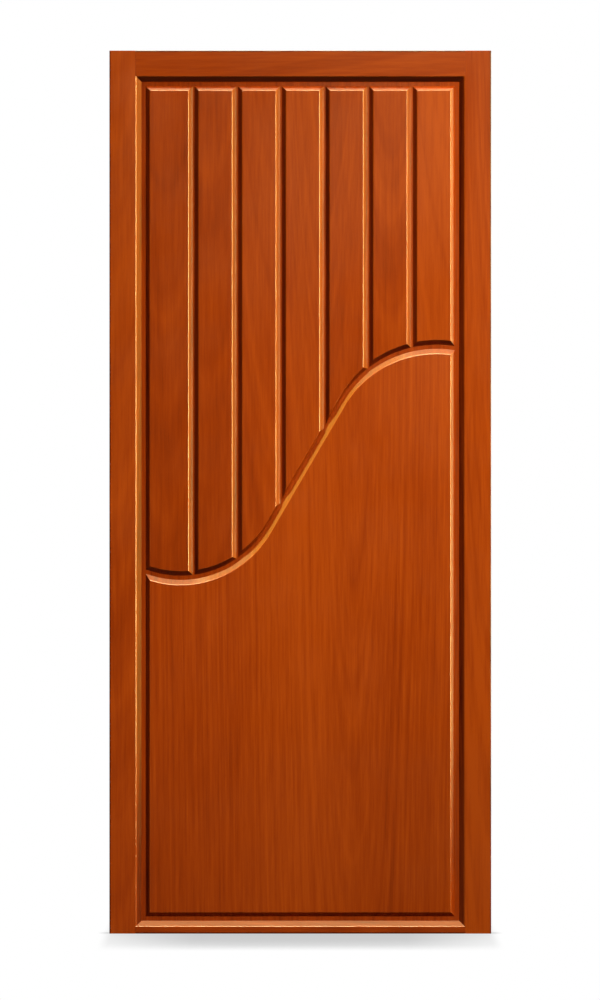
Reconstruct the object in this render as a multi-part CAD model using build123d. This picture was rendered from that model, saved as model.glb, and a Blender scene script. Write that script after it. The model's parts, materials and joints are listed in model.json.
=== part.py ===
"""A panelled wooden door in its frame, hung on three butt hinges.

Millimetres. The origin is on the hinge jamb's wall face at floor level, half way through the frame's depth.
+X runs across the door to the lock jamb, +Y runs to the back, where the hinges are, and +Z runs up.
"""
import math
import os

from build123d import *

# Door in its frame
door_width = 908.0
door_height = 2100.0
jamb_width = 62.0
head_height = 60.0
threshold_height = 16.0

# Lip of the frame: it stops the leaf and its front edge is bevelled
lip_reach = 14.0
lip_bevel_depth = 8.0
lip_land = 1.0

# Running gaps between the leaf and the frame
stop_gap = 5.0
hinge_gap = 5.0
lock_gap = 6.0
head_gap = 5.0
threshold_gap = 5.0

# Leaf: a core with raised boards on both faces
core_thickness = 30.0
board_thickness = 8.0
board_bevel = 11.0
strip_width = 10.0
plank_count = 7
groove_floor = 4.0
first_plank_extra = 12.0

# Wave between the planks and the lower panel: its lowest and highest point and the radius there
wave_low_x = 169.0
wave_low_z = 828.0
wave_low_radius = 242.0
wave_high_x = 778.0
wave_high_z = 1378.0
wave_high_radius = 260.0
wave_floor = 10.0
wave_plank_bevel = 12.0
wave_panel_bevel = 13.0

# Butt hinges
hinge_height = 100.0
hinge_foot_distance = 250.0
hinge_head_distance = 200.0
hinge_seat = 22.0
pin_setback = 8.0
pin_radius = 3.0
pin_clearance = 0.05
pin_head_radius = 4.5
pin_head_height = 3.0
hinge_plate_thickness = 2.5
hinge_plate_relief = 1.0
knuckle_count = 5
knuckle_gap = 0.4
gain_clearance = 0.2

# Depths, counted along +Y
lip_thickness = lip_bevel_depth + lip_land
frame_depth = lip_thickness + stop_gap + core_thickness
frame_front = -frame_depth / 2
frame_back = frame_depth / 2
lip_back = frame_front + lip_thickness
core_front = lip_back + stop_gap
core_back = core_front + core_thickness

# Rebate in which the leaf hangs, and the clear opening inside the lip
rebate_left = jamb_width
rebate_right = door_width - jamb_width
rebate_bottom = threshold_height
rebate_top = door_height - head_height
clear_left = rebate_left + lip_reach
clear_right = rebate_right - lip_reach
clear_bottom = rebate_bottom + lip_reach
clear_top = rebate_top - lip_reach

# Leaf edges
leaf_left = rebate_left + hinge_gap
leaf_right = rebate_right - lock_gap
leaf_bottom = rebate_bottom + threshold_gap
leaf_top = rebate_top - head_gap

# Field of boards: outer edge of the boards' feet, and of their faces
foot_left = clear_left + strip_width
foot_right = clear_right - strip_width
foot_bottom = clear_bottom + strip_width
foot_top = clear_top - strip_width
face_left = foot_left + board_bevel
face_right = foot_right - board_bevel
groove_width = groove_floor + 2 * board_bevel
plank_width = (face_right - face_left - first_plank_extra - (plank_count - 1) * groove_width) / plank_count

# Hinge axis and the heights of the hinges
knuckle_radius = pin_radius + hinge_plate_thickness
pin_x = rebate_left + hinge_gap / 2
pin_y = frame_back + pin_setback
hinge_low = leaf_bottom + hinge_foot_distance
hinge_high = leaf_top - hinge_head_distance
hinge_heights = {"bottom": hinge_low, "middle": (hinge_low + hinge_high) / 2, "top": hinge_high}

# Length by which cutting blocks run past the part
over = 40.0


def block(x0, x1, y0, y1, z0, z1):
    """Box between two corners."""
    return Pos((x0 + x1) / 2, (y0 + y1) / 2, (z0 + z1) / 2) * Box(x1 - x0, y1 - y0, z1 - z0)


def slab(points, y0, y1):
    """Prism over an outline of (x, z) points, from y0 to y1."""
    outline = Wire.make_polygon([(x, y0, z) for x, z in points], close=True)
    return Solid.extrude(Face(outline), Vector(0, y1 - y0, 0))


def window(inset, y):
    """Rectangle in the plane at y, drawn in from the rebate's edge by the inset."""
    x0, x1 = rebate_left + inset, rebate_right - inset
    z0, z1 = rebate_bottom + inset, rebate_top - inset
    return Wire.make_polygon([(x0, y, z0), (x1, y, z0), (x1, y, z1), (x0, y, z1)], close=True)


def wave_edges(y, lift):
    """The wave at depth y, lifted by a height: an arc, its tangent and an arc, from left to right past the core."""
    low = Vector(wave_low_x, y, wave_low_z + wave_low_radius + lift)
    high = Vector(wave_high_x, y, wave_high_z - wave_high_radius + lift)
    span = high - low
    slope = math.atan2(span.Z, span.X) + math.asin((wave_low_radius + wave_high_radius) / math.hypot(span.X, span.Z))

    def on_low(angle):
        return low + Vector(math.sin(angle), 0, -math.cos(angle)) * wave_low_radius

    def on_high(angle):
        return high + Vector(-math.sin(angle), 0, math.cos(angle)) * wave_high_radius

    start = -math.asin((wave_low_x - leaf_left) / wave_low_radius)
    end = -math.asin((leaf_right - wave_high_x) / wave_high_radius)
    return [
        Edge.make_three_point_arc(on_low(start), on_low((start + slope) / 2), on_low(slope)),
        Edge.make_line(on_low(slope), on_high(slope)),
        Edge.make_three_point_arc(on_high(slope), on_high((slope + end) / 2), on_high(end)),
    ]


def beside_wave(y, lift, limit):
    """Face in the plane at y between the lifted wave and a level line at the height limit."""
    edges = wave_edges(y, lift)
    first, last = edges[0] @ 0, edges[-1] @ 1
    corner_right = Vector(last.X, y, limit)
    corner_left = Vector(first.X, y, limit)
    edges.append(Edge.make_line(last, corner_right))
    edges.append(Edge.make_line(corner_right, corner_left))
    edges.append(Edge.make_line(corner_left, first))
    return Face(Wire(edges))


def bar(x0, x1, bevel_left, bevel_right):
    """Upright bar on the core's front, with the given bevels along its sides."""
    front = core_front - board_thickness
    outline = Wire.make_polygon(
        [(x0, core_front, 0), (x1, core_front, 0), (x1 - bevel_right, front, 0), (x0 + bevel_left, front, 0)],
        close=True,
    )
    return Solid.extrude(Face(outline), Vector(0, 0, door_height))


def ends():
    """Level bar across the door, bevelled along the top and the bottom of the field of boards."""
    front = core_front - board_thickness
    outline = Wire.make_polygon(
        [
            (0, core_front, foot_bottom),
            (0, core_front, foot_top),
            (0, front, foot_top - board_bevel),
            (0, front, foot_bottom + board_bevel),
        ],
        close=True,
    )
    return Solid.extrude(Face(outline), Vector(door_width, 0, 0))


def hinge_side(pin_z, side, knuckles):
    """One plate of a hinge with its knuckles; side is -1 on the frame and +1 on the leaf."""
    inner, outer = pin_x + side * pin_radius, pin_x + side * knuckle_radius
    x0, x1 = min(inner, outer), max(inner, outer)
    foot, top = pin_z - hinge_height / 2, pin_z + hinge_height / 2
    seat_end = frame_back - hinge_seat
    plate = block(x0, x1, seat_end, pin_y - knuckle_radius - hinge_plate_relief, foot, top)
    step = hinge_height / knuckle_count
    for k in knuckles:
        z0 = foot + k * step + (knuckle_gap / 2 if k > 0 else 0)
        z1 = foot + (k + 1) * step - (knuckle_gap / 2 if k < knuckle_count - 1 else 0)
        barrel = Pos(pin_x, pin_y, (z0 + z1) / 2) * Cylinder(knuckle_radius, z1 - z0)
        plate = plate + block(x0, x1, seat_end, pin_y, z0, z1) + barrel
    return plate - Pos(pin_x, pin_y, pin_z) * Cylinder(pin_radius + pin_clearance, 2 * hinge_height)


def hinge_pin(pin_z):
    """Pin with a rounded head at both ends."""
    pin = Pos(pin_x, pin_y, pin_z) * Cylinder(pin_radius, hinge_height)
    for end in (-1, 1):
        centre = pin_z + end * (hinge_height + pin_head_height) / 2
        head = Pos(pin_x, pin_y, centre) * Cylinder(pin_head_radius, pin_head_height)
        rim = head.edges().filter_by(GeomType.CIRCLE).sort_by(Axis.Z)[-1 if end > 0 else 0]
        pin = pin + fillet(rim, pin_head_height / 2)
    return pin


def gain(side):
    """Blocks that cut the three seats of the hinge plates into an edge; side as in hinge_side."""
    face = rebate_left if side < 0 else leaf_left
    bottom = pin_x + side * knuckle_radius
    reach = hinge_height / 2 + gain_clearance
    seat_end = frame_back - hinge_seat - gain_clearance
    x0, x1 = min(face - side * over, bottom), max(face - side * over, bottom)
    return [block(x0, x1, seat_end, frame_back + over, z - reach, z + reach) for z in hinge_heights.values()]


def mirrored(shape):
    """The same shape on the leaf's back face."""
    middle = Plane((0, (core_front + core_back) / 2, 0), x_dir=(1, 0, 0), z_dir=(0, 1, 0))
    return mirror(shape, about=middle)


def save(shape, name):
    """Write one named piece."""
    export_step(shape, f"parts/{name}.step")


os.makedirs("parts", exist_ok=True)

# Frame: one blank with its rebate, clear opening and front bevel, divided into its four members
blank = block(0, door_width, frame_front, frame_back, 0, door_height)
blank -= block(rebate_left, rebate_right, lip_back, frame_back + over, rebate_bottom, rebate_top)
blank -= block(clear_left, clear_right, frame_front - over, frame_back, clear_bottom, clear_top)
blank -= Solid.make_loft([window(0, frame_front), window(lip_reach, frame_front + lip_bevel_depth)], True)

hinge_jamb_outline = [
    (0, 0),
    (rebate_left, 0),
    (rebate_left, rebate_bottom),
    (clear_left, clear_bottom),
    (clear_left, clear_top),
    (rebate_left, rebate_top),
    (rebate_left, door_height),
    (0, door_height),
]
lock_jamb_outline = [(door_width - x, z) for x, z in hinge_jamb_outline]
head_outline = [
    (rebate_left, door_height),
    (rebate_left, rebate_top),
    (clear_left, clear_top),
    (clear_right, clear_top),
    (rebate_right, rebate_top),
    (rebate_right, door_height),
]
threshold_outline = [
    (rebate_left, 0),
    (rebate_left, rebate_bottom),
    (clear_left, clear_bottom),
    (clear_right, clear_bottom),
    (rebate_right, rebate_bottom),
    (rebate_right, 0),
]
hinge_jamb = blank & slab(hinge_jamb_outline, frame_front, frame_back)
for seat in gain(-1):
    hinge_jamb -= seat
save(hinge_jamb, "hinge_jamb")
save(blank & slab(lock_jamb_outline, frame_front, frame_back), "lock_jamb")
save(blank & slab(head_outline, frame_front, frame_back), "head")
save(blank & slab(threshold_outline, frame_front, frame_back), "threshold")

# Leaf core, whose front shows as the floor of every groove
core = block(leaf_left, leaf_right, core_front, core_back, leaf_bottom, leaf_top)
for seat in gain(1):
    core -= seat
save(core, "leaf_core")

# Planks above the wave, on the front and repeated on the back
plank_foot_lift = wave_panel_bevel + wave_floor
above_wave = Solid.extrude(
    beside_wave(core_front, plank_foot_lift, door_height), Vector(0, -board_thickness, wave_plank_bevel)
)
upper_field = ends() & above_wave
face_start = face_left
for number in range(1, plank_count + 1):
    face_end = face_start + plank_width + (first_plank_extra if number == 1 else 0)
    plank = upper_field & bar(face_start - board_bevel, face_end + board_bevel, board_bevel, board_bevel)
    save(plank, f"front_plank_{number}")
    save(mirrored(plank), f"back_plank_{number}")
    face_start = face_end + groove_width

# Lower panel below the wave, on the front and repeated on the back
below_wave = Solid.extrude(
    beside_wave(core_front, wave_panel_bevel, 0), Vector(0, -board_thickness, -wave_panel_bevel)
)
lower_panel = ends() & below_wave & bar(foot_left, foot_right, board_bevel, board_bevel)
save(lower_panel, "front_lower_panel")
save(mirrored(lower_panel), "back_lower_panel")

# Hinges: the frame's plate holds the end and middle knuckles, the leaf's plate the ones between
for place, height in hinge_heights.items():
    save(hinge_side(height, -1, range(0, knuckle_count, 2)), f"hinge_{place}_frame_plate")
    save(hinge_side(height, 1, range(1, knuckle_count, 2)), f"hinge_{place}_leaf_plate")
    save(hinge_pin(height), f"hinge_{place}_pin")
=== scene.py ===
"""Looks of the panelled door: bevelled boards with pale arrises, partly from rubbing and partly painted highlight,
painted shade at the feet of their bevels, satin lacquer on timber, steel hinges.

Metres, in the frame of the part: +X across the door, +Y to the back, +Z up.
"""
import json
import math

import bpy
import numpy as np
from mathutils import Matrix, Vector


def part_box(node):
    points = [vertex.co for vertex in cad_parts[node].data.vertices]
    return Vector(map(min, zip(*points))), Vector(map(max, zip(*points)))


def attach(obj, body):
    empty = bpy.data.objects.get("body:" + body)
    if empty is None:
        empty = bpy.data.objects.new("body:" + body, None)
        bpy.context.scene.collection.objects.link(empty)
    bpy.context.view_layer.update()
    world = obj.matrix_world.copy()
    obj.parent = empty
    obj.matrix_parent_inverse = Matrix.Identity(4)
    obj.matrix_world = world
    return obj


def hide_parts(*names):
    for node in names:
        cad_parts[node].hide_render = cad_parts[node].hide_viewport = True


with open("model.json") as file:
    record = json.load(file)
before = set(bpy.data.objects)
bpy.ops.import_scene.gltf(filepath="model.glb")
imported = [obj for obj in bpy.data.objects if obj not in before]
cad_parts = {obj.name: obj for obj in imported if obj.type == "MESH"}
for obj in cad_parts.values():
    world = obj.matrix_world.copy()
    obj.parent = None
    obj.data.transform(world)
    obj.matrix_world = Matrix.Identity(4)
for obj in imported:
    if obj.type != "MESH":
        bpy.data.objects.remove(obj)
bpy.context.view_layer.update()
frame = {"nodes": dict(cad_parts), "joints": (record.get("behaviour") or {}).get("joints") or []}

MM = 0.001
NODES = frame["nodes"]
HINGE_PLACES = ("bottom", "middle", "top")

# Photograph: its size in pixels, the door's centre in it and the length that one pixel covers on the door
PHOTO_WIDTH, PHOTO_HEIGHT = 600, 1000
DOOR_CENTRE_ROW = 492.1
DOOR_CENTRE_COLUMN = 300.3
PIXEL = 2.378 * MM

# Door frame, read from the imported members
FRAME_LOW, FRAME_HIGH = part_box("hinge_jamb")
HEAD_LOW, HEAD_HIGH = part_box("head")
DOOR_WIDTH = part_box("lock_jamb")[1].x
DOOR_HEIGHT = FRAME_HIGH.z
DOOR_MIDDLE = Vector((DOOR_WIDTH / 2, 0, DOOR_HEIGHT / 2))
FRAME_FRONT, FRAME_BACK = FRAME_LOW.y, FRAME_HIGH.y
JAMB_WIDTH = HEAD_LOW.x
LIP_REACH = FRAME_HIGH.x - JAMB_WIDTH
HEAD_HEIGHT = HEAD_HIGH.z - HEAD_LOW.z - LIP_REACH
THRESHOLD_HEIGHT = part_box("threshold")[1].z - LIP_REACH
REBATE_FOOT, REBATE_HEAD = THRESHOLD_HEIGHT, DOOR_HEIGHT - HEAD_HEIGHT
REBATE_LEFT, REBATE_RIGHT = JAMB_WIDTH, DOOR_WIDTH - JAMB_WIDTH
LIP_BEVEL_DEPTH = 8 * MM
LIP_LAND = 1 * MM

# Leaf core and the boards on it
CORE_LOW, CORE_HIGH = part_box("leaf_core")
PANEL_LOW, PANEL_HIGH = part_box("front_lower_panel")
PLANK_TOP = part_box("front_plank_1")[1].z
BOARD_THICKNESS = PANEL_HIGH.y - PANEL_LOW.y
BOARD_BEVEL = 11 * MM
PLANK_COLUMNS, PANEL_COLUMNS = 24, 120

# Wave between the planks and the lower panel, as in the part, and how far its groove is spread where it is steep
WAVE_LOW_X, WAVE_LOW_Z, WAVE_LOW_RADIUS = 169 * MM, 828 * MM, 242 * MM
WAVE_HIGH_X, WAVE_HIGH_Z, WAVE_HIGH_RADIUS = 778 * MM, 1378 * MM, 260 * MM
WAVE_FLOOR = 10 * MM
WAVE_PLANK_BEVEL = 12 * MM
WAVE_PANEL_BEVEL = 13 * MM
WAVE_PANEL_SPREAD, WAVE_PLANK_SPREAD = 8 * MM, 4 * MM

# Hinges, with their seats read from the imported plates
PIN_X = frame["joints"][0]["pos_m"][0]
PIN_RADIUS = 3 * MM
HINGE_SEAT_CLEARANCE = 0.2 * MM
HINGE_SEAT_DEPTH = 3 * MM
HINGE_SEAT_WIDTH = CORE_HIGH.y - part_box("hinge_top_frame_plate")[0].y + HINGE_SEAT_CLEARANCE
HINGE_SEATS = [
    (low.z - HINGE_SEAT_CLEARANCE, high.z + HINGE_SEAT_CLEARANCE)
    for low, high in (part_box(f"hinge_{place}_frame_plate") for place in HINGE_PLACES)
]

# Hinge screws
SCREW_RADIUS = 4.0 * MM
SCREW_RISE = 0.3 * MM
SCREW_SINK = 0.5 * MM
SCREW_CROSS_LENGTH = 4.4 * MM
SCREW_CROSS_WIDTH = 1.0 * MM
SCREW_CROSS_DEPTH = 0.9 * MM
SCREW_HEIGHTS = (-36 * MM, -12 * MM, 12 * MM, 36 * MM)
SCREW_STAGGER = 4.5 * MM
SCREW_RINGS = (1.0, 1.0, 0.97, 0.85, 0.7, 0.58, 0.5, 0.4, 0.3, 0.2, 0.1)
SCREW_SIDES = 48

# Roundings
ARRIS = 1.0 * MM
EDGE_RADIUS = 1.0 * MM
CORNER_STEPS = 5
END_CHAMFER = 0.5 * MM
SMOOTH_BELOW = math.radians(32)
NO_AREA, NO_LENGTH = 1e-11, 1e-7

# Bevels: the point up them where the painted shade in the groove ends and the share of it left there, steps of the
# arris, how dark the painted shade at their feet is on boards, plank feet and the upright and level lips, and how pale
# the arris is on the bevel's side, partly from rubbing and partly as painted highlight
BEVEL_MIDDLE = 0.75
MIDDLE_SHADE = 0.7
BEVEL_STEPS = 7
BOARD_GROOVE_SHADE = 1.15
PLANK_FOOT_SHADE = 0.2
UPRIGHT_LIP_SHADE = 2.2
LEVEL_LIP_SHADE = 0.5
ARRIS_RUB_AND_HIGHLIGHT = 0.5

# Outer edges of the frame: how much darker they are drawn, and how far in that reaches in full and at all
EDGE_DARKENING = 2.0
EDGE_SHADE = 2.5 * MM
EDGE_CLEAN = 1.5 * EDGE_SHADE

# Lightness of each piece, lighter above 0, with its change for each metre across the door and up it, partly the
# timber's own and partly painted light; and a lighter stripe on the panel along the door's middle line, with its
# width, which is painted light
HINGE_JAMB_TONE_AND_LIGHT, HINGE_JAMB_LIGHT_LEAN = 0.13, (0, 0.06)
LOCK_JAMB_TONE_AND_LIGHT, LOCK_JAMB_LIGHT_LEAN = 0.21, (0, -0.10)
HEAD_TONE_AND_LIGHT = 0.07
THRESHOLD_TONE_AND_LIGHT = -0.04
# The core shows as the floor of the grooves; it is darker partly as painted shade
CORE_TONE_AND_SHADE = -0.10
PLANK_TONES_AND_LIGHT = (-0.04, 0.0, 0.09, 0.12, 0.02, 0.07, 0.24)
PANEL_TONE_AND_LIGHT, PANEL_LIGHT_LEAN = 0.10, (0.1, 0.06)
PANEL_PAINTED_LIGHT, LIGHT_BAND_WIDTH = 0.17, 120 * MM

# Place of the pith: chosen for the panel, drawn by chance within limits for the other pieces
PANEL_PITH = (-0.58, 0.14, 0.5)
PITH_ASIDE = 90 * MM
PITH_NEAR, PITH_FAR = 100 * MM, 300 * MM
PITH_LOWEST, PITH_HIGHEST = -1.5, 0.0
SAW_SEED = 7

# Figure of the timber: stretch along the grain, scale, detail and roughness of its noises, and the strength of each
RING_SPACING = 9 * MM
RING_DRIFT = 15 * MM
PITH_LEAN = -0.055
BANDS, BAND_STRENGTH = (0.12, 16, 2, 0.5), 0.42
STREAKS, STREAK_STRENGTH = (0.04, 150, 3, 0.6), 0.6
FIBRES, FIBRE_STRENGTH = (0.025, 620, 2, 0.6), 0.35
PORES, PORE_STRENGTH = (0.04, 1500, 1, 0.5), 0.10
RING_STRENGTH = 0.45
# How far the arris mark moves the colour: painted shade at bevel feet, darker outer edges, paler arrises from rubbing
# and painted highlight
ARRIS_STRENGTH = 0.30
PORE_FROM, PORE_TO = 0.60, 0.72
FIBRE_HEIGHT = 0.5
DRIFT_STRETCH, DRIFT_SCALE = 0.4, 2.0
RING_DETAIL, RING_ROUGHNESS = 2.0, 0.6

# Colours and finish of timber and steel
# Darkest colour of the timber, reached under the painted shade at the feet of bevels and along the darker outer edges
TIMBER_IN_SHADE = (0.120, 0.0100, 0.0003, 1)
TIMBER_DARK = (0.225, 0.0225, 0.0006, 1)
TIMBER_MIDDLE = (0.335, 0.0385, 0.0012, 1)
TIMBER_LIGHT = (0.445, 0.062, 0.0025, 1)
TIMBER_STOPS = ((0.0, TIMBER_IN_SHADE), (0.15, TIMBER_DARK), (0.5, TIMBER_MIDDLE), (0.85, TIMBER_LIGHT))
LACQUER_ROUGHNESS = 0.15
LACQUER_SMEAR, LACQUER_SMEAR_SCALE = 0.12, 9
LACQUER_TINT = (1.0, 0.85, 0.42, 1)
PORE_ROUGHNESS = 0.06
WALL_SIDE_ROUGHNESS = 0.6
# Sides turned to the wall and the core's ends are darker, which is painted shade
WALL_SIDE_PAINTED_SHADE = -0.35
TIMBER_RELIEF = (0.1 * MM, 0.15)
STEEL_DULL = (0.46, 0.45, 0.43, 1)
STEEL_BRIGHT = (0.66, 0.65, 0.63, 1)
STEEL_HAIRLINES = (0.02, 2600, 2, 0.6)
STEEL_ROUGHNESS, HAIRLINE_ROUGHNESS, SMEAR_ROUGHNESS = 0.2, 0.14, 0.08
STEEL_SMEAR_SCALE = 60
STEEL_RELIEF = (0.02 * MM, 0.4)
SMEAR_DETAIL = 3

# Camera
LENS, SENSOR = 200, 36

# Lamps that light the door: turn and slant of their direction, distance, size and watts
KEY = (63, 67.5, 14, 3, 530)
FILL = (63, 67.5, 14, 3, 3560)
BEHIND = (129, 127, 8, 4, 800)

# Spot that brightens the door's upper right: where it points, its direction, distance, watts, spread and size
POOL_CENTRE = (0.90, 0, 1.45)
POOL_TURN, POOL_SLANT, POOL_DISTANCE = 55, 66, 8
POOL_WATTS, POOL_SPREAD, POOL_SIZE = 1770, 11, 0.3

# Lamps that only show in the lacquer: on the arrises, and on the bevels that face right, up and along the wave
GLOSS_DISTANCE = 20
NEUTRAL, WARM, CREAM = (1, 1, 1), (1, 0.92, 0.62), (0.85, 0.95, 0.8)
GOLDEN, HONEY, AMBER = (1, 0.53, 0.12), (1, 0.78, 0.42), (1, 0.56, 0.13)
GLOSS_LAMPS = (  # name, turn, slant, size, watts, colour, whether the door's own pieces shade it
    ("glint_right", 0, 36, 8.5, 11000, WARM, True),
    ("glint_above", 90, 36, 8.5, 9000, NEUTRAL, True),
    ("sheen_right", 0, 70, 11, 1750, GOLDEN, True),
    ("sheen_above", 90, 70, 11, 1900, CREAM, True),
    ("sheen_crest", 118, 66, 9, 1900, HONEY, True),
    ("sheen_slope", 147, 64, 9, 2150, AMBER, False),
    ("haze", 62, 9.7, 3, 22, NEUTRAL, True),
)

# World and floor
WHITE = (1, 1, 1, 1)
AMBIENT, AMBIENT_IN_GLOSS = 0.09, 0.15
WORLD_WHITE_FROM, WORLD_WHITE_TO = -0.2, 0.4  # how far a mirrored ray points to the back
FLOOR_WHITE_FROM, FLOOR_WHITE_TO = 0.0, 0.3
FLOOR_CORNERS = [(-6, -6, 0), (7, -6, 0), (7, 6, 0), (-6, 6, 0)]
FLOOR_GREY, FLOOR_ROUGHNESS = (0.03, 0.03, 0.03, 1), 0.9
SHADOW_REACH, CONTACT_REACH = 0.52, 0.03
SHADOW_FADE_FROM, SHADOW_FADE = 0.25, 0.5
SHADOW_END_INSIDE, SHADOW_END_OUTSIDE = 0.01, 0.02
SHADOW_STEPS = ((0.74, 0.60), (0.92, 0.73), (0.975, 0.86), (1.0, 1.0))  # openness to the sky, grey shown


# Meshes


def grid_faces(rows, columns):
    """Quads between neighbouring rows of a grid of points stored row by row, the last column joined to the first."""
    row = np.arange(rows - 1)[:, None] * columns
    here = np.arange(columns)[None, :]
    beside = (here + 1) % columns
    return np.stack([row + here, row + beside, row + columns + beside, row + columns + here], axis=-1).reshape(-1, 4)


def add_piece(name, points, faces, inside_out=False):
    """New mesh object from points and faces; smooth, with creases where two faces meet at more than SMOOTH_BELOW."""
    faces = [face[::-1] for face in faces] if inside_out else faces
    mesh = bpy.data.meshes.new(name)
    mesh.from_pydata(points.reshape(-1, 3).tolist(), [], faces)
    mesh.validate()
    mesh.shade_smooth()
    mesh.set_sharp_from_angle(angle=SMOOTH_BELOW)
    piece = bpy.data.objects.new(name, mesh)
    bpy.context.scene.collection.objects.link(piece)
    return piece


def mark(piece, name, values):
    """Store one number on each point of a piece, for its material to read.

    The arris mark is above 0 where an arris is paler, partly from rubbing and partly as painted highlight, and below 0
    where painted shade lies at a bevel's foot or an outer edge is drawn darker; the other mark is 1 on sides turned to
    the wall, which are rougher and darker as painted shade.
    """
    stored = piece.data.attributes.new(name, "FLOAT", "POINT")
    stored.data.foreach_set("value", np.ascontiguousarray(values, float).ravel())


def mark_timber(piece, pith, tone_and_light, light_lean=(0, 0), painted_light=0.0):
    """Store on each point where in the log this piece was cut from, and how much lighter or darker it is.

    The lightness changes evenly across the door and up it, by two values for each metre from its middle, and is
    lighter by a given amount in a soft stripe along the door's middle line; this lightness is partly the timber's own
    and partly painted light.
    """
    count = len(piece.data.vertices)
    points = np.empty(count * 3)
    piece.data.vertices.foreach_get("co", points)
    aside, up = points[0::3] - DOOR_WIDTH / 2, points[2::3] - DOOR_HEIGHT / 2
    cut = piece.data.attributes.new("log_shift", "FLOAT_VECTOR", "POINT")
    cut.data.foreach_set("vector", np.tile(np.asarray(pith, float), count))
    light_band = painted_light * np.exp(-((aside / LIGHT_BAND_WIDTH) ** 2))
    mark(piece, "board_tone_and_light", tone_and_light + light_lean[0] * aside + light_lean[1] * up + light_band)


def dress(piece, body, slot, material, *nodes):
    """Hang a piece on its body, give it its material, and let it stand for its CAD nodes."""
    piece.data.materials.append(material)
    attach(piece, body)
    if nodes:
        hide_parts(*nodes)


def soft_corner(before, corner, after, radius, steps=CORNER_STEPS):
    """Points of a rounded corner: the quadratic curve that leaves each side at the radius, drawn to the corner."""
    before, corner, after = (np.asarray(p, float) for p in (before, corner, after))
    start = corner + (before - corner) * (radius / np.linalg.norm(before - corner))
    end = corner + (after - corner) * (radius / np.linalg.norm(after - corner))
    t = np.linspace(0, 1, steps)[:, None]
    return (1 - t) ** 2 * start + 2 * t * (1 - t) * corner + t**2 * end


def bevel(width, depth):
    """Inset and rise of a bevel: a straight rise to the arris, which is rounded and ends where the face begins."""
    foot, corner, face = (0, 0), (width - ARRIS, depth), (width + ARRIS, depth)
    middle = np.array(corner) * BEVEL_MIDDLE
    return np.vstack([foot, middle, soft_corner(foot, corner, face, ARRIS, BEVEL_STEPS)])


def bevel_shade_and_pale_arris(foot_shade):
    """Marks of each point of a bevel: painted shade lies at its foot and thins out up it, and the arris is paler,
    partly from rubbing and partly as painted highlight.
    """
    rounding = np.linspace(-1, 1, BEVEL_STEPS)
    # The arris is paler, partly from rubbing and partly as painted highlight
    pale_arris = np.where(rounding < 0, 1 - (1 - ARRIS_RUB_AND_HIGHLIGHT) * rounding**2, 1 - rounding**2)
    return np.concatenate([[-foot_shade, -foot_shade * MIDDLE_SHADE], pale_arris])


# Boards on the leaf


def wave(x):
    """Height of the lower panel's arris, an arc, the line touching both arcs and an arc, and its slope's cosine."""
    low = np.array([WAVE_LOW_X, WAVE_LOW_Z + WAVE_LOW_RADIUS])
    high = np.array([WAVE_HIGH_X, WAVE_HIGH_Z - WAVE_HIGH_RADIUS])
    span = high - low
    slope = math.atan2(span[1], span[0]) + math.asin((WAVE_LOW_RADIUS + WAVE_HIGH_RADIUS) / np.hypot(*span))
    leave = low + WAVE_LOW_RADIUS * np.array([math.sin(slope), -math.cos(slope)])
    meet = high + WAVE_HIGH_RADIUS * np.array([-math.sin(slope), math.cos(slope)])
    hollow = low[1] - np.sqrt(np.maximum(WAVE_LOW_RADIUS**2 - (x - low[0]) ** 2, 0))
    crown = high[1] + np.sqrt(np.maximum(WAVE_HIGH_RADIUS**2 - (x - high[0]) ** 2, 0))
    line = leave[1] + (x - leave[0]) * math.tan(slope)
    stretches = [x < leave[0], x > meet[0]]
    arc_sines = [(x - low[0]) / WAVE_LOW_RADIUS, (high[0] - x) / WAVE_HIGH_RADIUS]
    sine = np.select(stretches, arc_sines, math.sin(slope))
    return np.select(stretches, [hollow, crown], line), np.sqrt(1 - np.clip(sine, -1, 1) ** 2)


def plank_foot(x, inset):
    """Lower edge of a plank's ring: the wave, lifted over the groove and further along the bevel.

    Where the wave is steep the groove is spread upwards, so that it keeps its width square to the wave.
    """
    height, cosine = wave(x)
    spread = WAVE_PLANK_SPREAD * (1 / cosine - 1)
    return height + WAVE_PANEL_BEVEL + WAVE_FLOOR + spread + inset * WAVE_PLANK_BEVEL / BOARD_BEVEL


def panel_head(x, inset):
    """Upper edge of a lower panel's ring: the wave, lifted along the bevel, which is spread where it is steep."""
    height, cosine = wave(x)
    climb = inset / BOARD_BEVEL
    spread = WAVE_PLANK_SPREAD * (1 - climb) - WAVE_PANEL_SPREAD * climb
    return height + WAVE_PANEL_BEVEL * (1 - climb) + spread * (1 / cosine - 1)


def plank_head(x, inset):
    """Upper edge of a plank's ring: level, lowered by the inset."""
    return np.zeros_like(x) + PLANK_TOP - inset


def panel_sole(x, inset):
    """Lower edge of a lower panel's ring: level, lifted by the inset."""
    return np.zeros_like(x) + PANEL_LOW.z + inset


def crease_mitres(board, around, corners):
    """Make the mitres of a board's bevel sharp: the edges from ring to ring at the corners of the rings."""
    mesh = board.data
    ends = np.empty(len(mesh.edges) * 2, np.int32)
    mesh.edges.foreach_get("vertices", ends)
    place = ends.reshape(-1, 2) % around
    mitre = (place[:, 0] == place[:, 1]) & np.isin(place[:, 0], corners)
    sharp = np.empty(len(mesh.edges), bool)
    crease = mesh.attributes["sharp_edge"]
    crease.data.foreach_get("value", sharp)
    crease.data.foreach_set("value", sharp | mitre)


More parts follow.
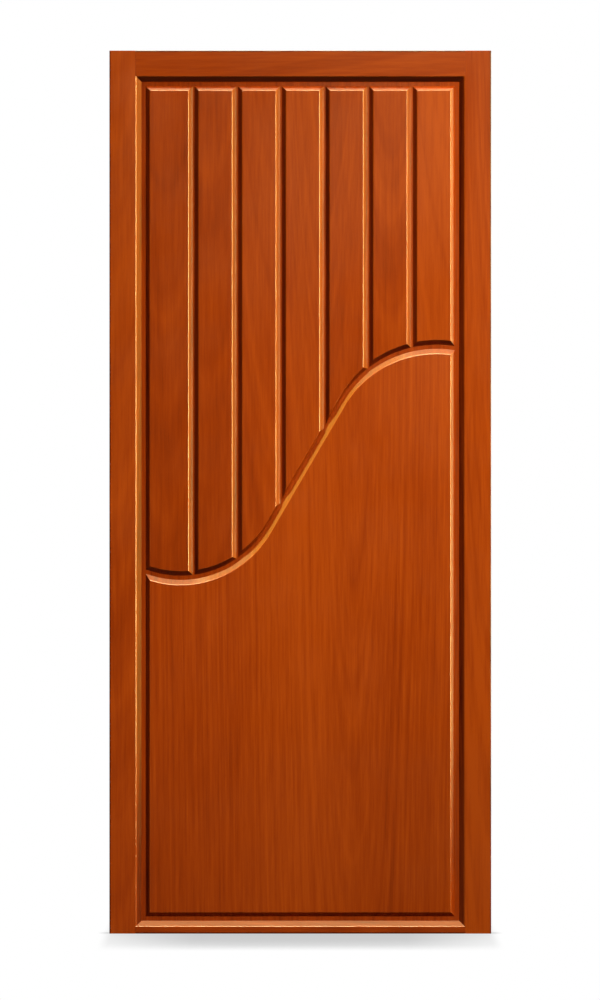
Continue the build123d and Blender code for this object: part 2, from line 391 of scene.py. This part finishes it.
def raised_board(name, left, right, lower, upper, front, columns, lower_shade):
    """Board on the leaf: rings of the bevel, each drawn in from the last, closed by a flat face and a flat foot.

    A ring runs along the lower edge from left to right and back along the upper edge, at the ring's inset.
    """
    inset, rise = bevel(BOARD_BEVEL, BOARD_THICKNESS).T
    inset = inset[:, None]
    x = left + inset + (right - left - 2 * inset) * np.linspace(0, 1, columns)[None, :]
    y = np.broadcast_to(CORE_LOW.y - rise[:, None] if front else CORE_HIGH.y + rise[:, None], x.shape)
    below = np.stack([x, y, lower(x, inset)], axis=-1)
    above = np.stack([x, y, upper(x, inset)], axis=-1)[:, ::-1]
    points = np.concatenate([below, above], axis=1)
    rings, around = points.shape[:2]
    step = np.arange(columns - 1)
    cap = np.stack([step, step + 1, around - 2 - step, around - 1 - step], axis=1)
    faces = grid_faces(rings, around).tolist() + (cap + (rings - 1) * around).tolist() + cap[:, ::-1].tolist()
    board = add_piece(name, points, faces, inside_out=not front)
    crease_mitres(board, around, (0, columns - 1, columns, around - 1))
    # Painted shade at the feet of the bevels, with its own amount along the lower edge, and paler arrises, partly from
    # rubbing and partly painted highlight
    painted_and_worn = np.repeat(bevel_shade_and_pale_arris(BOARD_GROOVE_SHADE)[:, None], around, axis=1)
    painted_and_worn[:, 1 : columns - 1] = bevel_shade_and_pale_arris(lower_shade)[:, None]
    mark(board, "arris", painted_and_worn)
    return board


# Frame members and the leaf's core


def carried(name, rows, inside_out=False):
    """Closed bar: a section carried along a path, one row of points for each station, with flat ends.

    Where points of a section fall together, the faces and end points that have no size are left out.
    """
    points = np.stack(rows)
    stations, around = points.shape[:2]
    sides = grid_faces(stations, around)
    corners = points.reshape(-1, 3)[sides]
    area = np.linalg.norm(np.cross(corners[:, 2] - corners[:, 0], corners[:, 3] - corners[:, 1]), axis=1) / 2
    faces = sides[area > NO_AREA].tolist()
    for station, order in ((0, -1), (stations - 1, 1)):
        gap = np.linalg.norm(points[station] - np.roll(points[station], 1, axis=0), axis=1)
        faces.append((station * around + np.flatnonzero(gap > NO_LENGTH))[::order].tolist())
    return add_piece(name, points, faces, inside_out)


def member_section(width, lip_shade):
    """Section of a frame member as (inward, depth), and the marks of its points: painted shade at the lip's foot, a
    paler arris from rubbing and painted highlight, and darker outer edges.

    It goes round by the wall side, the front face, the bevelled lip, the rebate and the back. The rebate's last
    stretch, where hinge plates lie, starts with a doubled point.
    """
    inner = width + LIP_REACH
    bevel_foot = FRAME_FRONT + LIP_BEVEL_DEPTH
    lip_back = bevel_foot + LIP_LAND
    seat = CORE_HIGH.y - HINGE_SEAT_WIDTH
    lip = bevel(LIP_REACH, LIP_BEVEL_DEPTH)[::-1]
    lip = np.stack([inner - lip[:, 0], bevel_foot - lip[:, 1]], axis=1)
    wall_front, wall_back = (0, FRAME_FRONT), (0, FRAME_BACK)
    face_inside, rebate_back = (width, FRAME_FRONT), (width, FRAME_BACK)
    # The outer edges are drawn darker, in full near the edge and fading further in
    corner_darkening = np.full(CORNER_STEPS, -EDGE_DARKENING)
    corner_darkening[0] = 0
    side_darkening = np.array([-EDGE_DARKENING, 0])
    parts = [
        (soft_corner(wall_back, wall_front, face_inside, EDGE_RADIUS), corner_darkening),
        ([(EDGE_SHADE, FRAME_FRONT), (EDGE_CLEAN, FRAME_FRONT)], side_darkening),
        (lip, bevel_shade_and_pale_arris(lip_shade)[::-1]),
        ([(inner, lip_back), (width, lip_back), (width, seat), (width, seat)], np.zeros(4)),
        (soft_corner((width, seat), rebate_back, wall_back, min(EDGE_RADIUS, width / 4)), np.zeros(CORNER_STEPS)),
        ([(width - HINGE_SEAT_DEPTH, FRAME_BACK)], np.zeros(1)),
        ([(EDGE_CLEAN, FRAME_BACK), (EDGE_SHADE, FRAME_BACK)], side_darkening[::-1]),
        (soft_corner(rebate_back, wall_back, wall_front, EDGE_RADIUS), corner_darkening[::-1]),
    ]
    return np.vstack([points for points, _ in parts]), np.concatenate([section_marks for _, section_marks in parts])


def frame_member(name, width, lip_shade, start, lip_start, lip_end, end, place, seats=(), inside_out=False):
    """Frame member: its section carried along its length, mitred where the lip ends, chamfered at both ends.

    A row is (inward, depth, along) until place() turns it into x, y, z. Over a hinge seat, the rebate's last
    stretch lies deeper in the wood.
    """
    section, section_marks = member_section(width, lip_shade)
    inward, depth = section.T
    squared = np.minimum(inward, width)
    lip = np.maximum(inward - width, 0)
    is_seat = (inward > width - HINGE_SEAT_DEPTH) & (depth >= CORE_HIGH.y - HINGE_SEAT_WIDTH)
    is_seat[np.argmax(is_seat)] = False
    sunk = np.where(is_seat, np.minimum(inward, width - HINGE_SEAT_DEPTH), inward)

    def row(across, along, chamfer=0.0):
        across = np.clip(across, chamfer, width + LIP_REACH - chamfer)
        across = np.where(squared == inward, np.minimum(across, width - chamfer), across) if chamfer else across
        deep = np.clip(depth, FRAME_FRONT + chamfer, FRAME_BACK - chamfer)
        return place(across, deep, np.broadcast_to(along, inward.shape))

    rows = [row(np.minimum(squared, width - END_CHAMFER), start, END_CHAMFER), row(squared, start + END_CHAMFER)]
    if lip_start > start:
        rows.append(row(squared, lip_start))
    rows.append(row(inward, lip_start + np.maximum(lip, END_CHAMFER)))
    for low, high in seats:
        rows += [row(inward, low), row(sunk, low), row(sunk, high), row(inward, high)]
    rows.append(row(inward, lip_end - np.maximum(lip, END_CHAMFER)))
    if lip_end < end:
        rows.append(row(squared, lip_end))
    rows += [row(squared, end - END_CHAMFER), row(np.minimum(squared, width - END_CHAMFER), end, END_CHAMFER)]
    member = carried(name, rows, inside_out)
    # Painted shade at the lip's foot, paler arris from rubbing and painted highlight, and darker outer edges, none on
    # the chamfered ends
    painted_and_worn = np.tile(section_marks, (len(rows), 1))
    painted_and_worn[[0, -1]] = 0
    mark(member, "arris", painted_and_worn)
    # Sides turned to the wall and the chamfered ends are rougher and darker, the darkening being painted shade
    to_wall = np.tile(inward <= 0, (len(rows), 1))
    to_wall[[0, -1]] = True
    mark(member, "rough_and_shaded", to_wall)
    return member


def upright_left(inward, depth, along):
    """Row of the left jamb: inward is to the right, along is up."""
    return np.stack([inward, depth, along], axis=1)


def upright_right(inward, depth, along):
    """Row of the right jamb: inward is to the left, along is up."""
    return np.stack([DOOR_WIDTH - inward, depth, along], axis=1)


def level_top(inward, depth, along):
    """Row of the head: inward is down, along is to the right."""
    return np.stack([along, depth, DOOR_HEIGHT - inward], axis=1)


def level_foot(inward, depth, along):
    """Row of the threshold: inward is up, along is to the right."""
    return np.stack([along, depth, inward], axis=1)


def leaf_core():
    """Leaf core: a rounded rectangle carried up the leaf, cut back on its hinge edge at each hinge seat."""
    left, right, front, back = CORE_LOW.x, CORE_HIGH.x, CORE_LOW.y, CORE_HIGH.y
    seat = back - HINGE_SEAT_WIDTH
    corners = [(left, front), (right, front), (right, back), (left, back)]
    rounded = [soft_corner(corners[k - 1], corners[k], corners[(k + 1) % 4], EDGE_RADIUS) for k in range(4)]
    seat_end = [(left + HINGE_SEAT_DEPTH, back)]
    section = np.vstack([*rounded[:3], seat_end, rounded[3], [(left, seat), (left, seat)]])
    x, y = section.T
    is_seat = (x < left + HINGE_SEAT_DEPTH) & (y >= seat)
    is_seat[-1] = False
    sunk = np.where(is_seat, np.maximum(x, left + HINGE_SEAT_DEPTH), x)

    def row(across, height, chamfer=0.0):
        return np.stack([
            np.clip(across, left + chamfer, right - chamfer),
            np.clip(y, front + chamfer, back - chamfer),
            np.full_like(x, height),
        ], axis=1)

    foot, head = CORE_LOW.z, CORE_HIGH.z
    rows = [row(x, foot, EDGE_RADIUS), row(x, foot + EDGE_RADIUS)]
    for low, high in HINGE_SEATS:
        rows += [row(x, low), row(sunk, low), row(sunk, high), row(x, high)]
    rows += [row(x, head - EDGE_RADIUS), row(x, head, EDGE_RADIUS)]
    core = carried("leaf_ground", rows)
    # The core's top and bottom ends are rougher and darker, the darkening being painted shade
    ends = np.zeros((len(rows), len(section)))
    ends[[0, -1]] = 1
    mark(core, "rough_and_shaded", ends)
    return core


# Hinge screws


def screw_heads(name, centres, facing):
    """Countersunk screw heads: a low dome of rings round each centre, sunk along the two arms of a cross.

    The rise over the plate is a dome in the radius, less a step where the distance from an arm's middle line is
    under half its width. facing is +1 or -1 along X.
    """
    ring = np.array(SCREW_RINGS)[:, None] * SCREW_RADIUS
    angle = np.linspace(0, 2 * math.pi, SCREW_SIDES + 1)[None, :-1]
    across, along = ring * np.cos(angle), ring * np.sin(angle)
    rise = SCREW_RISE * (1 - (ring / SCREW_RADIUS) ** 2) + 0 * angle
    rise[0] = -SCREW_SINK
    arm = np.minimum(np.abs(across), np.abs(along)) < SCREW_CROSS_WIDTH / 2
    reach = np.maximum(np.abs(across), np.abs(along)) < SCREW_CROSS_LENGTH / 2
    rise = rise - SCREW_CROSS_DEPTH * (arm & reach)
    head = np.stack([facing * rise, across, along], axis=-1)
    points = np.asarray(centres, float)[:, None, None, :] + head[None]
    count, rings, around = points.shape[:3]
    faces = np.vstack([grid_faces(rings, around) + k * rings * around for k in range(count)]).tolist()
    faces += [list(range(((k + 1) * rings - 1) * around, (k + 1) * rings * around)) for k in range(count)]
    faces += [list(range(k * rings * around, (k * rings + 1) * around))[::-1] for k in range(count)]
    return add_piece(name, points, faces, inside_out=facing < 0)


def screw_places(plate, facing):
    """Centres of the screws on a packed hinge plate: evenly spaced up its seat, to the left and right in turn."""
    low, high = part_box(plate)
    face = PIN_X - facing * PIN_RADIUS
    middle_y, middle_z = (low.y + CORE_HIGH.y) / 2, (low.z + high.z) / 2
    turns = [SCREW_STAGGER if k % 2 else -SCREW_STAGGER for k in range(len(SCREW_HEIGHTS))]
    return [(face, middle_y + aside, middle_z + height) for aside, height in zip(turns, SCREW_HEIGHTS)]


# Shader helpers


def feed(tree, socket, value):
    """Give an input a value or the output of another node."""
    if isinstance(value, bpy.types.NodeSocket):
        tree.links.new(value, socket)
    else:
        socket.default_value = value


def add(tree, kind, inputs=None, **settings):
    """New node with its settings and its inputs fed."""
    node = tree.nodes.new(kind)
    for key, value in settings.items():
        setattr(node, key, value)
    for key, value in (inputs or {}).items():
        feed(tree, node.inputs[key], value)
    return node


def calc(tree, operation, first, second=0.0):
    """One sum."""
    return add(tree, "ShaderNodeMath", {0: first, 1: second}, operation=operation).outputs[0]


def add_share(tree, total, part, share):
    """A total with a share of a part added to it."""
    return calc(tree, "ADD", total, calc(tree, "MULTIPLY", part, share))


def vector_calc(tree, operation, first, second):
    """One sum of vectors."""
    return add(tree, "ShaderNodeVectorMath", {0: first, 1: second}, operation=operation).outputs[0]


def parts_of(tree, vector):
    """The x, y and z of a vector."""
    return add(tree, "ShaderNodeSeparateXYZ", {0: vector}).outputs


def between(tree, value, low, high, **settings):
    """How far a value lies on the way from low to high, from 0 to 1."""
    return add(tree, "ShaderNodeMapRange", {0: value, 1: low, 2: high}, **settings).outputs[0]


def noise(tree, position, scale, detail, roughness=0.5):
    """Smooth noise from 0 to 1."""
    inputs = {"Vector": position, "Scale": scale, "Detail": detail, "Roughness": roughness}
    return add(tree, "ShaderNodeTexNoise", inputs).outputs["Fac"]


def grain(tree, position, lines):
    """Noise that is stretched along Z, from its stretch, scale, detail and roughness."""
    stretch, scale, detail, roughness = lines
    return noise(tree, vector_calc(tree, "MULTIPLY", position, (1, 1, stretch)), scale, detail, roughness)


def blend(tree, factor, first, second):
    """Colour between two."""
    made = add(tree, "ShaderNodeMix", data_type="RGBA")
    for number, value in ((0, factor), (6, first), (7, second)):
        feed(tree, made.inputs[number], value)
    return made.outputs[2]


def set_stops(ramp, stops):
    """Give a colour ramp its stops, as (position, colour) from the first to the last."""
    made = ramp.color_ramp.elements
    made[0].position, made[0].color = stops[0]
    made[1].position, made[1].color = stops[-1]
    for position, colour in stops[1:-1]:
        made.new(position).color = colour


def group(name, inputs, outputs):
    """Empty node group with named sockets, as (tree, its inputs, its output node)."""
    tree = bpy.data.node_groups.new(name, "ShaderNodeTree")
    for label, kind in inputs:
        tree.interface.new_socket(label, in_out="INPUT", socket_type=f"NodeSocket{kind}")
    for label, kind in outputs:
        tree.interface.new_socket(label, in_out="OUTPUT", socket_type=f"NodeSocket{kind}")
    entry = tree.nodes.new("NodeGroupInput")
    return tree, entry.outputs, tree.nodes.new("NodeGroupOutput")


def place_group(tree, shared, inputs):
    """Outputs of a shared group that is placed in a material with its own inputs."""
    node = tree.nodes.new("ShaderNodeGroup")
    node.node_tree = shared
    for key, value in inputs.items():
        feed(tree, node.inputs[key], value)
    return node.outputs


# Shared effects


def timber_figure():
    """Figure of sawn timber with the grain along Z.

    Growth rings are circles round a pith that lies behind the board and leans away from it, so they draw upright
    lines and pointed arches. Streaks, fibres and pores are noise that is stretched along the grain.
    """
    tree, given, result = group(
        "timber_figure",
        [("Position", "Vector"), ("Pith", "Vector"), ("Tone", "Float"), ("Arris", "Float"), ("Unpolished", "Float")],
        [("Colour", "Color"), ("Roughness", "Float"), ("Height", "Float")],
    )
    position = given["Position"]
    slow = vector_calc(tree, "MULTIPLY", position, (1, 1, DRIFT_STRETCH))
    drift = add(tree, "ShaderNodeTexNoise", {"Vector": slow, "Scale": DRIFT_SCALE}).outputs["Color"]
    bend = vector_calc(tree, "SUBTRACT", drift, (0.5, 0.5, 0.5))
    bend = vector_calc(tree, "MULTIPLY", bend, (RING_DRIFT, RING_DRIFT, 0))
    place = vector_calc(tree, "ADD", vector_calc(tree, "ADD", position, given["Pith"]), bend)
    part = parts_of(tree, place)
    depth = add_share(tree, part[1], part[2], PITH_LEAN)
    radius = add_share(tree, calc(tree, "MULTIPLY", part[0], part[0]), depth, depth)
    radius = calc(tree, "SQRT", radius)
    ring_noise = {"W": radius, "Scale": 1 / RING_SPACING, "Detail": RING_DETAIL, "Roughness": RING_ROUGHNESS}
    rings = add(tree, "ShaderNodeTexNoise", ring_noise, noise_dimensions="1D").outputs["Fac"]
    bands, streaks, fibres, pores = (grain(tree, place, lines) for lines in (BANDS, STREAKS, FIBRES, PORES))
    pore = between(tree, pores, PORE_FROM, PORE_TO)

    tone_and_light = 0.5
    figures = (
        (bands, BAND_STRENGTH), (rings, RING_STRENGTH), (streaks, STREAK_STRENGTH), (fibres, FIBRE_STRENGTH),
    )
    for figure, strength in figures:
        tone_and_light = add_share(tree, tone_and_light, calc(tree, "SUBTRACT", figure, 0.5), strength)
    # Each piece's lightness, partly its own and partly painted light from how light falls across the door
    tone_and_light = calc(tree, "ADD", tone_and_light, given["Tone"])
    # Sides turned to the wall are darker: painted shade
    tone_and_light = add_share(tree, tone_and_light, given["Unpolished"], WALL_SIDE_PAINTED_SHADE)
    tone_and_light = add_share(tree, tone_and_light, pore, -PORE_STRENGTH)
    # Arris mark: painted shade at the feet of bevels, darker outer edges, and paler arrises, partly from rubbing and
    # partly painted highlight
    tone_and_light = add_share(tree, tone_and_light, given["Arris"], ARRIS_STRENGTH)
    ramp = add(tree, "ShaderNodeValToRGB", {"Fac": tone_and_light})
    set_stops(ramp, TIMBER_STOPS)
    feed(tree, result.inputs["Colour"], ramp.outputs["Color"])

    smear = noise(tree, position, LACQUER_SMEAR_SCALE, SMEAR_DETAIL)
    gloss = add_share(tree, LACQUER_ROUGHNESS - LACQUER_SMEAR / 2, smear, LACQUER_SMEAR)
    gloss = add_share(tree, gloss, pore, PORE_ROUGHNESS)
    gloss = add_share(tree, gloss, given["Unpolished"], WALL_SIDE_ROUGHNESS)
    feed(tree, result.inputs["Roughness"], gloss)
    height = calc(tree, "SUBTRACT", calc(tree, "MULTIPLY", fibres, FIBRE_HEIGHT), pore)
    feed(tree, result.inputs["Height"], height)
    return tree


def brushed_steel():
    """Steel brushed along Z: bright and dull hairlines from noise that is stretched along the brushing, and smears."""
    tree, given, result = group(
        "brushed_steel",
        [("Position", "Vector")],
        [("Colour", "Color"), ("Roughness", "Float"), ("Height", "Float")],
    )
    hairline = grain(tree, given["Position"], STEEL_HAIRLINES)
    smear = noise(tree, given["Position"], STEEL_SMEAR_SCALE, SMEAR_DETAIL)
    feed(tree, result.inputs["Colour"], blend(tree, smear, STEEL_DULL, STEEL_BRIGHT))
    gloss = add_share(tree, STEEL_ROUGHNESS, hairline, HAIRLINE_ROUGHNESS)
    feed(tree, result.inputs["Roughness"], add_share(tree, gloss, smear, SMEAR_ROUGHNESS))
    feed(tree, result.inputs["Height"], hairline)
    return tree


# Materials


def finished(name, shared, relief, turned=False, **marks):
    """Material whose colour, roughness and relief come from a shared effect, as (material, its shader).

    The effect reads the piece's own position, turned by a quarter to lay the grain along X, and the marks stored on
    its points. relief is the depth of the surface relief and its strength.
    """
    material = bpy.data.materials.new(name)
    material.use_nodes = True
    tree = material.node_tree
    shader = tree.nodes["Principled BSDF"]
    position = tree.nodes.new("ShaderNodeTexCoord").outputs["Object"]
    if turned:
        quarter = (0, math.radians(90), 0)
        position = add(tree, "ShaderNodeMapping", {"Vector": position, "Rotation": quarter}).outputs[0]
    inputs = {"Position": position}
    for label, (stored, kind) in marks.items():
        inputs[label] = add(tree, "ShaderNodeAttribute", attribute_name=stored).outputs[kind]
    effect = place_group(tree, shared, inputs)
    distance, strength = relief
    bump = add(tree, "ShaderNodeBump", {"Height": effect["Height"], "Distance": distance, "Strength": strength})
    feed(tree, shader.inputs["Base Color"], effect["Colour"])
    feed(tree, shader.inputs["Roughness"], effect["Roughness"])
    feed(tree, shader.inputs["Normal"], bump.outputs["Normal"])
    return material, shader


def lacquered_timber(name, figure, turned=False):
    """Satin lacquer over timber; turned lays the grain along X instead of Z."""
    material, shader = finished(
        name, figure, TIMBER_RELIEF, turned, Pith=("log_shift", "Vector"), Tone=("board_tone_and_light", "Fac"),
        Arris=("arris", "Fac"), Unpolished=("rough_and_shaded", "Fac"),
    )
    shader.inputs["Specular IOR Level"].default_value = 0.5
    shader.inputs["Specular Tint"].default_value = LACQUER_TINT
    return material


def hinge_steel(name, brushing):
    """Brushed stainless steel."""
    material, shader = finished(name, brushing, STEEL_RELIEF)
    shader.inputs["Metallic"].default_value = 1.0
    return material


# Studio


def from_angles(turn, slant):
    """Direction turned up from the door's right hand by one angle, and away from straight ahead by another."""
    turn, slant = math.radians(turn), math.radians(slant)
    return Vector((math.sin(slant) * math.cos(turn), -math.cos(slant), math.sin(slant) * math.sin(turn)))


def add_lamp(name, kind, turn, slant, distance, watts, target=DOOR_MIDDLE):
    """Lamp that faces a point of the door from a direction."""
    lamp_data = bpy.data.lights.new(name, kind)
    lamp_data.energy = watts
    lamp = bpy.data.objects.new(name, lamp_data)
    bpy.context.scene.collection.objects.link(lamp)
    direction = from_angles(turn, slant)
    lamp.location = Vector(target) + direction * distance
    lamp.rotation_euler = direction.to_track_quat("Z", "Y").to_euler()
    return lamp


def softbox(name, turn, slant, distance, size, watts):
    """Square lamp that faces the door's middle."""
    lamp = add_lamp(name, "AREA", turn, slant, distance, watts)
    lamp.data.size = size
    return lamp


def light_door():
    """Lamps on the door's faces, which don't show in the lacquer: a key, a fill, one behind and a pool of light."""
    lamps = [softbox("key", *KEY), softbox("fill", *FILL), softbox("behind", *BEHIND)]
    pool = add_lamp("pool", "SPOT", POOL_TURN, POOL_SLANT, POOL_DISTANCE, POOL_WATTS, POOL_CENTRE)
    pool.data.spot_size = math.radians(POOL_SPREAD)
    pool.data.spot_blend = 1.0
    pool.data.shadow_soft_size = POOL_SIZE
    for lamp in (*lamps, pool):
        lamp.visible_glossy = False
    for lamp in (lamps[1], pool):
        lamp.data.use_shadow = False


def light_lacquer():
    """Lamps that show only as gloss in the lacquer."""
    for name, turn, slant, size, watts, colour, shadow in GLOSS_LAMPS:
        lamp = softbox(name, turn, slant, GLOSS_DISTANCE, size, watts)
        lamp.visible_diffuse = False
        lamp.data.color = colour
        lamp.data.use_shadow = shadow


def studio_camera():
    """Camera as in the photograph: level, square to the door and far off."""
    camera_data = bpy.data.cameras.new("camera")
    camera_data.lens = LENS
    camera_data.sensor_width = SENSOR
    camera = bpy.data.objects.new("camera", camera_data)
    bpy.context.scene.collection.objects.link(camera)
    distance = PHOTO_HEIGHT * PIXEL * LENS / SENSOR
    aside = (PHOTO_WIDTH / 2 - DOOR_CENTRE_COLUMN) * PIXEL
    drop = (PHOTO_HEIGHT / 2 - DOOR_CENTRE_ROW) * PIXEL
    camera.location = (DOOR_MIDDLE.x + aside, FRAME_FRONT - distance, DOOR_MIDDLE.z - drop)
    camera.rotation_euler = (math.radians(90), 0, 0)
    bpy.context.scene.camera = camera


def white_share(tree, behind):
    """Share of plain white that a ray sees: all for the camera and through glass, and in gloss what lies behind."""
    rays = tree.nodes.new("ShaderNodeLightPath").outputs
    shown = calc(tree, "MAXIMUM", rays["Is Camera Ray"], rays["Is Transmission Ray"])
    mirrored = calc(tree, "MULTIPLY", rays["Is Glossy Ray"], behind)
    return calc(tree, "MAXIMUM", shown, mirrored), rays["Is Glossy Ray"]


def studio_world():
    """White for the camera; dim for the light that falls on the door, and dimmer in its gloss."""
    world = bpy.data.worlds.new("studio")
    bpy.context.scene.world = world
    world.use_nodes = True
    tree = world.node_tree
    ray = parts_of(tree, tree.nodes.new("ShaderNodeTexCoord").outputs["Generated"])
    shown, in_gloss = white_share(tree, between(tree, ray["Y"], WORLD_WHITE_FROM, WORLD_WHITE_TO))
    strength = add_share(tree, AMBIENT, in_gloss, -AMBIENT * (1 - AMBIENT_IN_GLOSS))
    dim = tree.nodes["Background"]
    feed(tree, dim.inputs["Color"], WHITE)
    feed(tree, dim.inputs["Strength"], strength)
    white = add(tree, "ShaderNodeBackground", {"Color": WHITE, "Strength": 1.0})
    mixed = add(tree, "ShaderNodeMixShader", {0: shown, 1: dim.outputs[0], 2: white.outputs[0]})
    feed(tree, tree.nodes["World Output"].inputs["Surface"], mixed.outputs[0])


def floor_shade(tree, place):
    """Grey of the floor: dark where the door stands close, less so towards the door's ends, and little beside it."""
    broad = add(tree, "ShaderNodeAmbientOcclusion", {"Distance": SHADOW_REACH})
    ramp = add(tree, "ShaderNodeValToRGB", {"Fac": broad.outputs["AO"]})
    set_stops(ramp, [(openness, (grey, grey, grey, 1)) for openness, grey in SHADOW_STEPS])
    close = add(tree, "ShaderNodeAmbientOcclusion", {"Distance": CONTACT_REACH})
    half = DOOR_WIDTH / 2
    aside = calc(tree, "ABSOLUTE", calc(tree, "SUBTRACT", place["X"], half))
    inside, outside = half - SHADOW_END_INSIDE, half + SHADOW_END_OUTSIDE
    beside = between(tree, aside, inside, outside, interpolation_type="SMOOTHSTEP")
    ends = calc(tree, "MULTIPLY", between(tree, aside, SHADOW_FADE_FROM, half), SHADOW_FADE)
    shade = blend(tree, ends, ramp.outputs["Color"], WHITE)
    return blend(tree, beside, shade, close.outputs["Color"])


def studio_floor():
    """White floor that keeps the door's soft shadow."""
    mesh = bpy.data.meshes.new("floor")
    mesh.from_pydata(FLOOR_CORNERS, [], [(0, 1, 2, 3)])
    floor = bpy.data.objects.new("floor", mesh)
    bpy.context.scene.collection.objects.link(floor)
    paper = bpy.data.materials.new("white_paper")
    paper.use_nodes = True
    tree = paper.node_tree
    place = parts_of(tree, tree.nodes.new("ShaderNodeTexCoord").outputs["Object"])
    glow = add(tree, "ShaderNodeEmission", {"Color": floor_shade(tree, place)})
    lit = tree.nodes["Principled BSDF"]
    lit.inputs["Base Color"].default_value = FLOOR_GREY
    lit.inputs["Roughness"].default_value = FLOOR_ROUGHNESS
    lit.inputs["Specular IOR Level"].default_value = 0.0
    shown, _ = white_share(tree, between(tree, place["Y"], FLOOR_WHITE_FROM, FLOOR_WHITE_TO))
    mixed = add(tree, "ShaderNodeMixShader", {0: shown, 1: lit.outputs[0], 2: glow.outputs[0]})
    feed(tree, tree.nodes["Material Output"].inputs["Surface"], mixed.outputs[0])
    mesh.materials.append(paper)


# Making the door

timber = timber_figure()
UPRIGHT_TIMBER = lacquered_timber("lacquered_timber_upright", timber)
LEVEL_TIMBER = lacquered_timber("lacquered_timber_level", timber, turned=True)
STEEL = hinge_steel("brushed_hinge_steel", brushed_steel())
saw = np.random.default_rng(SAW_SEED)


def sawn_pith(middle):
    """Place of the pith for a piece round the given middle line: a little aside and some way behind the face."""
    aside = saw.uniform(-PITH_ASIDE, PITH_ASIDE)
    return (-middle + aside, saw.uniform(PITH_NEAR, PITH_FAR), saw.uniform(PITH_LOWEST, PITH_HIGHEST))


uprights = [
    ("hinge_jamb", upright_left, HINGE_SEATS, False, JAMB_WIDTH / 2, HINGE_JAMB_TONE_AND_LIGHT, HINGE_JAMB_LIGHT_LEAN),
    ("lock_jamb", upright_right, (), True, DOOR_WIDTH - JAMB_WIDTH / 2, LOCK_JAMB_TONE_AND_LIGHT, LOCK_JAMB_LIGHT_LEAN),
]
for node, place, seats, inside_out, middle, tone_and_light, light_lean in uprights:
    jamb = frame_member(
        f"{node}_timber", JAMB_WIDTH, UPRIGHT_LIP_SHADE, 0, REBATE_FOOT, REBATE_HEAD, DOOR_HEIGHT,
        place, seats, inside_out,
    )
    mark_timber(jamb, sawn_pith(middle), tone_and_light, light_lean)
    dress(jamb, "frame", "frame_wood", UPRIGHT_TIMBER, node)

levels = [
    ("head", HEAD_HEIGHT, level_top, False, DOOR_HEIGHT - HEAD_HEIGHT / 2, HEAD_TONE_AND_LIGHT),
    ("threshold", THRESHOLD_HEIGHT, level_foot, True, THRESHOLD_HEIGHT / 2, THRESHOLD_TONE_AND_LIGHT),
]
for node, width, place, inside_out, middle, tone_and_light in levels:
    member = frame_member(
        f"{node}_timber", width, LEVEL_LIP_SHADE, REBATE_LEFT, REBATE_LEFT, REBATE_RIGHT, REBATE_RIGHT,
        place, (), inside_out,
    )
    mark_timber(member, sawn_pith(middle), tone_and_light)
    dress(member, "frame", "frame_wood", LEVEL_TIMBER, node)

ground = leaf_core()
mark_timber(ground, sawn_pith(DOOR_WIDTH / 2), CORE_TONE_AND_SHADE)
dress(ground, "leaf", "core_wood", UPRIGHT_TIMBER, "leaf_core")

for side in ("front", "back"):
    front = side == "front"
    for number, tone_and_light in enumerate(PLANK_TONES_AND_LIGHT, 1):
        node = f"{side}_plank_{number}"
        low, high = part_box(node)
        plank = raised_board(
            f"{node}_timber", low.x, high.x, plank_foot, plank_head, front, PLANK_COLUMNS, PLANK_FOOT_SHADE
        )
        mark_timber(plank, sawn_pith((low.x + high.x) / 2), tone_and_light)
        dress(plank, "leaf", "board_wood", UPRIGHT_TIMBER, node)
    node = f"{side}_lower_panel"
    panel = raised_board(
        f"{node}_timber", PANEL_LOW.x, PANEL_HIGH.x, panel_sole, panel_head, front, PANEL_COLUMNS, BOARD_GROOVE_SHADE
    )
    mark_timber(panel, PANEL_PITH, PANEL_TONE_AND_LIGHT, PANEL_LIGHT_LEAN, PANEL_PAINTED_LIGHT)
    dress(panel, "leaf", "board_wood", UPRIGHT_TIMBER, node)

for body, facing in (("frame", 1), ("leaf", -1)):
    plates = [f"hinge_{place}_{body}_plate" for place in HINGE_PLACES]
    centres = [centre for plate in plates for centre in screw_places(plate, facing)]
    screws = screw_heads(f"hinge_screws_{body}", centres, facing)
    dress(screws, body, "hinge_steel", STEEL)
for name, node in NODES.items():
    if name.startswith("hinge_") and name != "hinge_jamb":
        node.data.materials.clear()
        node.data.materials.append(STEEL)

# Showing it

bpy.context.scene.view_settings.view_transform = "Standard"
studio_camera()
light_door()
light_lacquer()
studio_world()
studio_floor()
